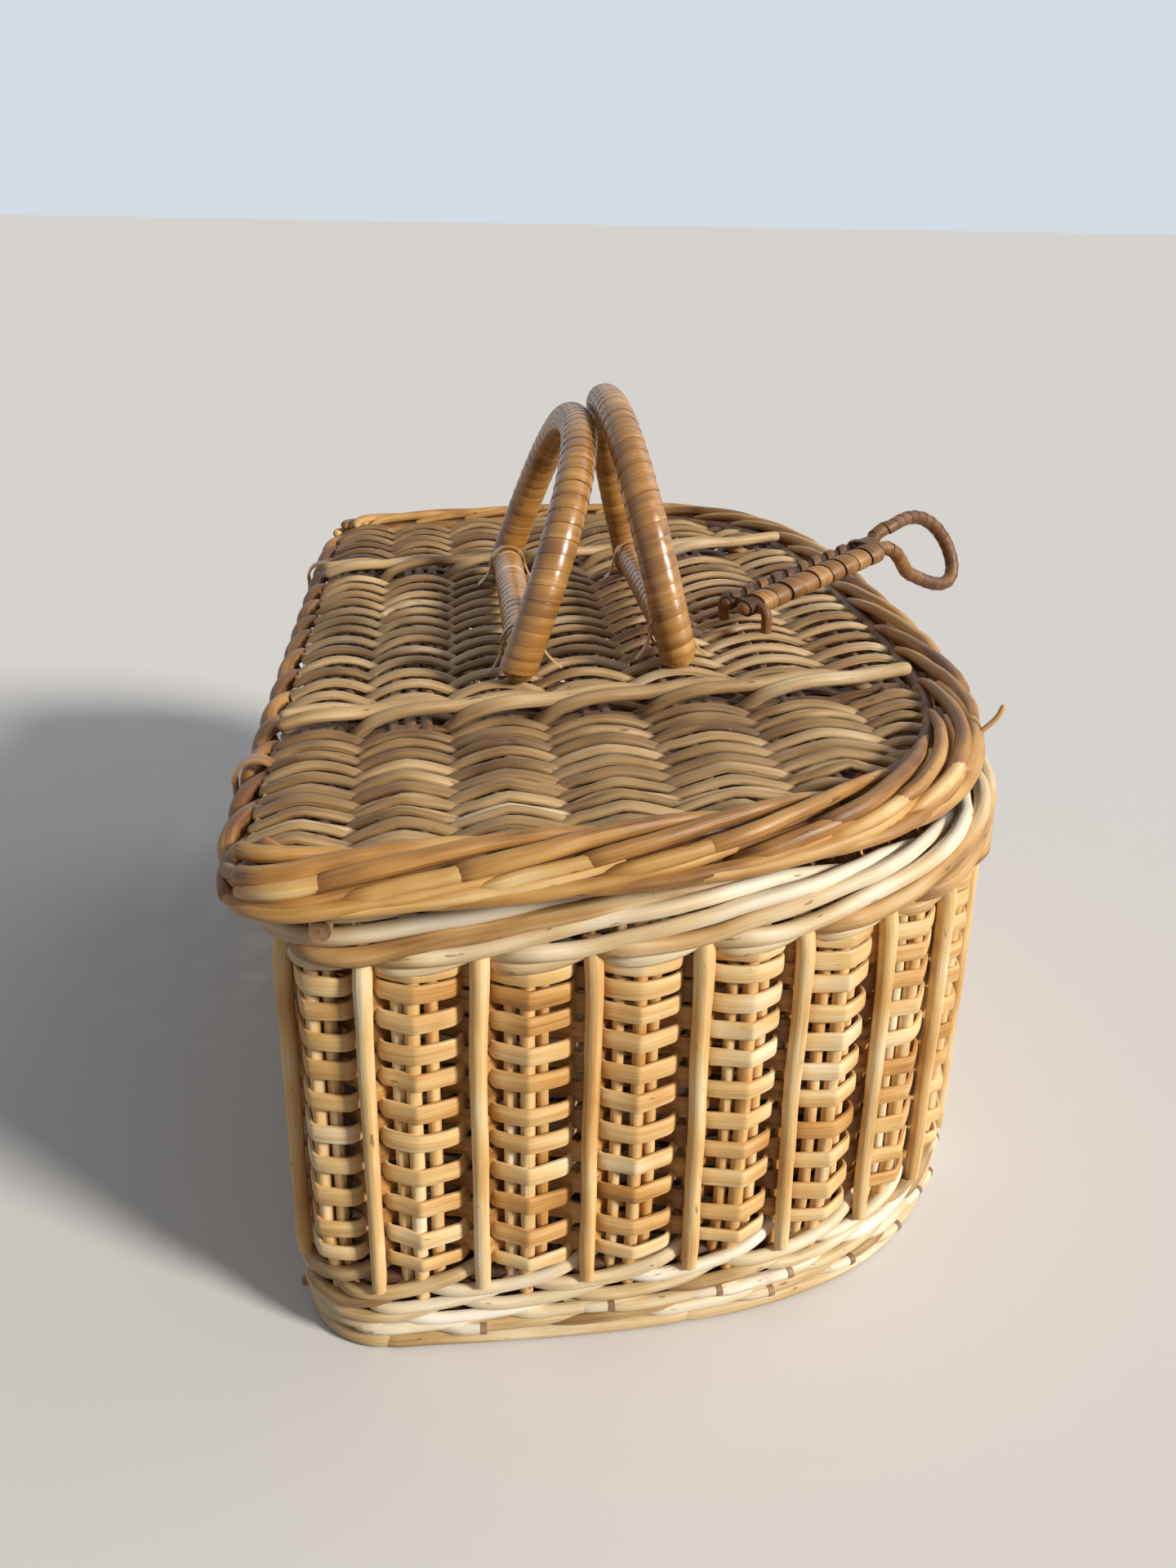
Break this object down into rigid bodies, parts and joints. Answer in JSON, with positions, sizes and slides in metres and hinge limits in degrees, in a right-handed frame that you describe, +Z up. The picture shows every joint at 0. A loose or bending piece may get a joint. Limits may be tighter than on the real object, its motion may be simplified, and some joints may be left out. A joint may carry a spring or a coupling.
{
  "type": "lidded wicker basket",
  "caption": "D-shaped woven willow basket with a hinged lid, folding ring handles wrapped in cane and a cane latch that lifts off a peg.",
  "frame": {"origin": "on the floor, at the centre of the underside of the base", "axes": "+X along the length, +Y to the hinge, +Z up"},
  "size_m": [0.399, 0.2538, 0.2412],
  "materials": {
    "golden_willow": "satin, peeled golden willow",
    "pale_willow": "satin, peeled pale willow",
    "rim_willow": "satin, peeled tan willow",
    "lid_willow": "satin, aged tan willow",
    "brown_willow": "satin, aged orange-brown willow",
    "glossy_cane": "gloss, wound split cane",
    "dark_cane": "satin, aged brown cane"
  },
  "bodies": {
    "basket": {"base_panel": "pale_willow", "foot_border": "pale_willow", "woven_wall": "golden_willow", "outer_stake_01": "golden_willow", "outer_stake_02": "golden_willow", "outer_stake_03": "golden_willow", "outer_stake_04": "golden_willow", "outer_stake_05": "golden_willow", "outer_stake_06": "golden_willow", "outer_stake_07": "golden_willow", "outer_stake_08": "golden_willow", "outer_stake_09": "golden_willow", "outer_stake_10": "golden_willow", "outer_stake_11": "golden_willow", "outer_stake_12": "golden_willow", "outer_stake_13": "golden_willow", "outer_stake_14": "golden_willow", "outer_stake_15": "golden_willow", "outer_stake_16": "golden_willow", "outer_stake_17": "golden_willow", "outer_stake_18": "golden_willow", "outer_stake_19": "golden_willow", "outer_stake_20": "golden_willow", "outer_stake_21": "golden_willow", "outer_stake_22": "golden_willow", "outer_stake_23": "golden_willow", "outer_stake_24": "golden_willow", "outer_stake_25": "golden_willow", "outer_stake_26": "golden_willow", "outer_stake_27": "golden_willow", "outer_stake_28": "golden_willow", "outer_stake_29": "golden_willow", "outer_stake_30": "golden_willow", "outer_stake_31": "golden_willow", "outer_stake_32": "golden_willow", "outer_stake_33": "golden_willow", "outer_stake_34": "golden_willow", "outer_stake_35": "golden_willow", "outer_stake_36": "golden_willow", "hinge_rail": "rim_willow", "hinge_loop_left": "glossy_cane", "hinge_loop_right": "glossy_cane", "catch_peg": "brown_willow", "rim_border": "rim_willow"},
    "lid": {"lid_panel": "lid_willow", "lid_border": "brown_willow", "lid_hinge_rod": "rim_willow", "lid_band_near": "pale_willow", "lid_band_far": "pale_willow", "back_handle_tie_near": "glossy_cane", "back_handle_tie_far": "glossy_cane", "front_handle_tie_near": "glossy_cane", "front_handle_tie_far": "glossy_cane", "latch_staple": "dark_cane"},
    "back_handle": {"back_handle_hoop": "glossy_cane", "back_handle_bar": "glossy_cane"},
    "front_handle": {"front_handle_hoop": "glossy_cane", "front_handle_bar": "glossy_cane"},
    "latch": {"latch_strap": "dark_cane", "latch_loop": "dark_cane"}
  },
  "joints": [
    {"name": "lid_hinge", "type": "hinge", "parent": "basket", "child": "lid", "pos_m": [0, 0.1155, 0.1473], "axis": [-1, 0, 0], "range_deg": [0, 105]},
    {"name": "back_handle_fold", "type": "hinge", "parent": "lid", "child": "back_handle", "pos_m": [-0.003, 0.03872, 0.16849], "axis": [-1, 0, 0], "range_deg": [0, 112]},
    {"name": "front_handle_fold", "type": "hinge", "parent": "lid", "child": "front_handle", "pos_m": [-0.003, -0.00899, 0.17133], "axis": [1, 0, 0], "range_deg": [0, 78]},
    {"name": "latch_lift", "type": "hinge", "parent": "lid", "child": "latch", "pos_m": [-0.027, -0.03877, 0.17269], "axis": [-0.866, -0.4991, 0.0296], "range_deg": [0, 80]}
  ]
}
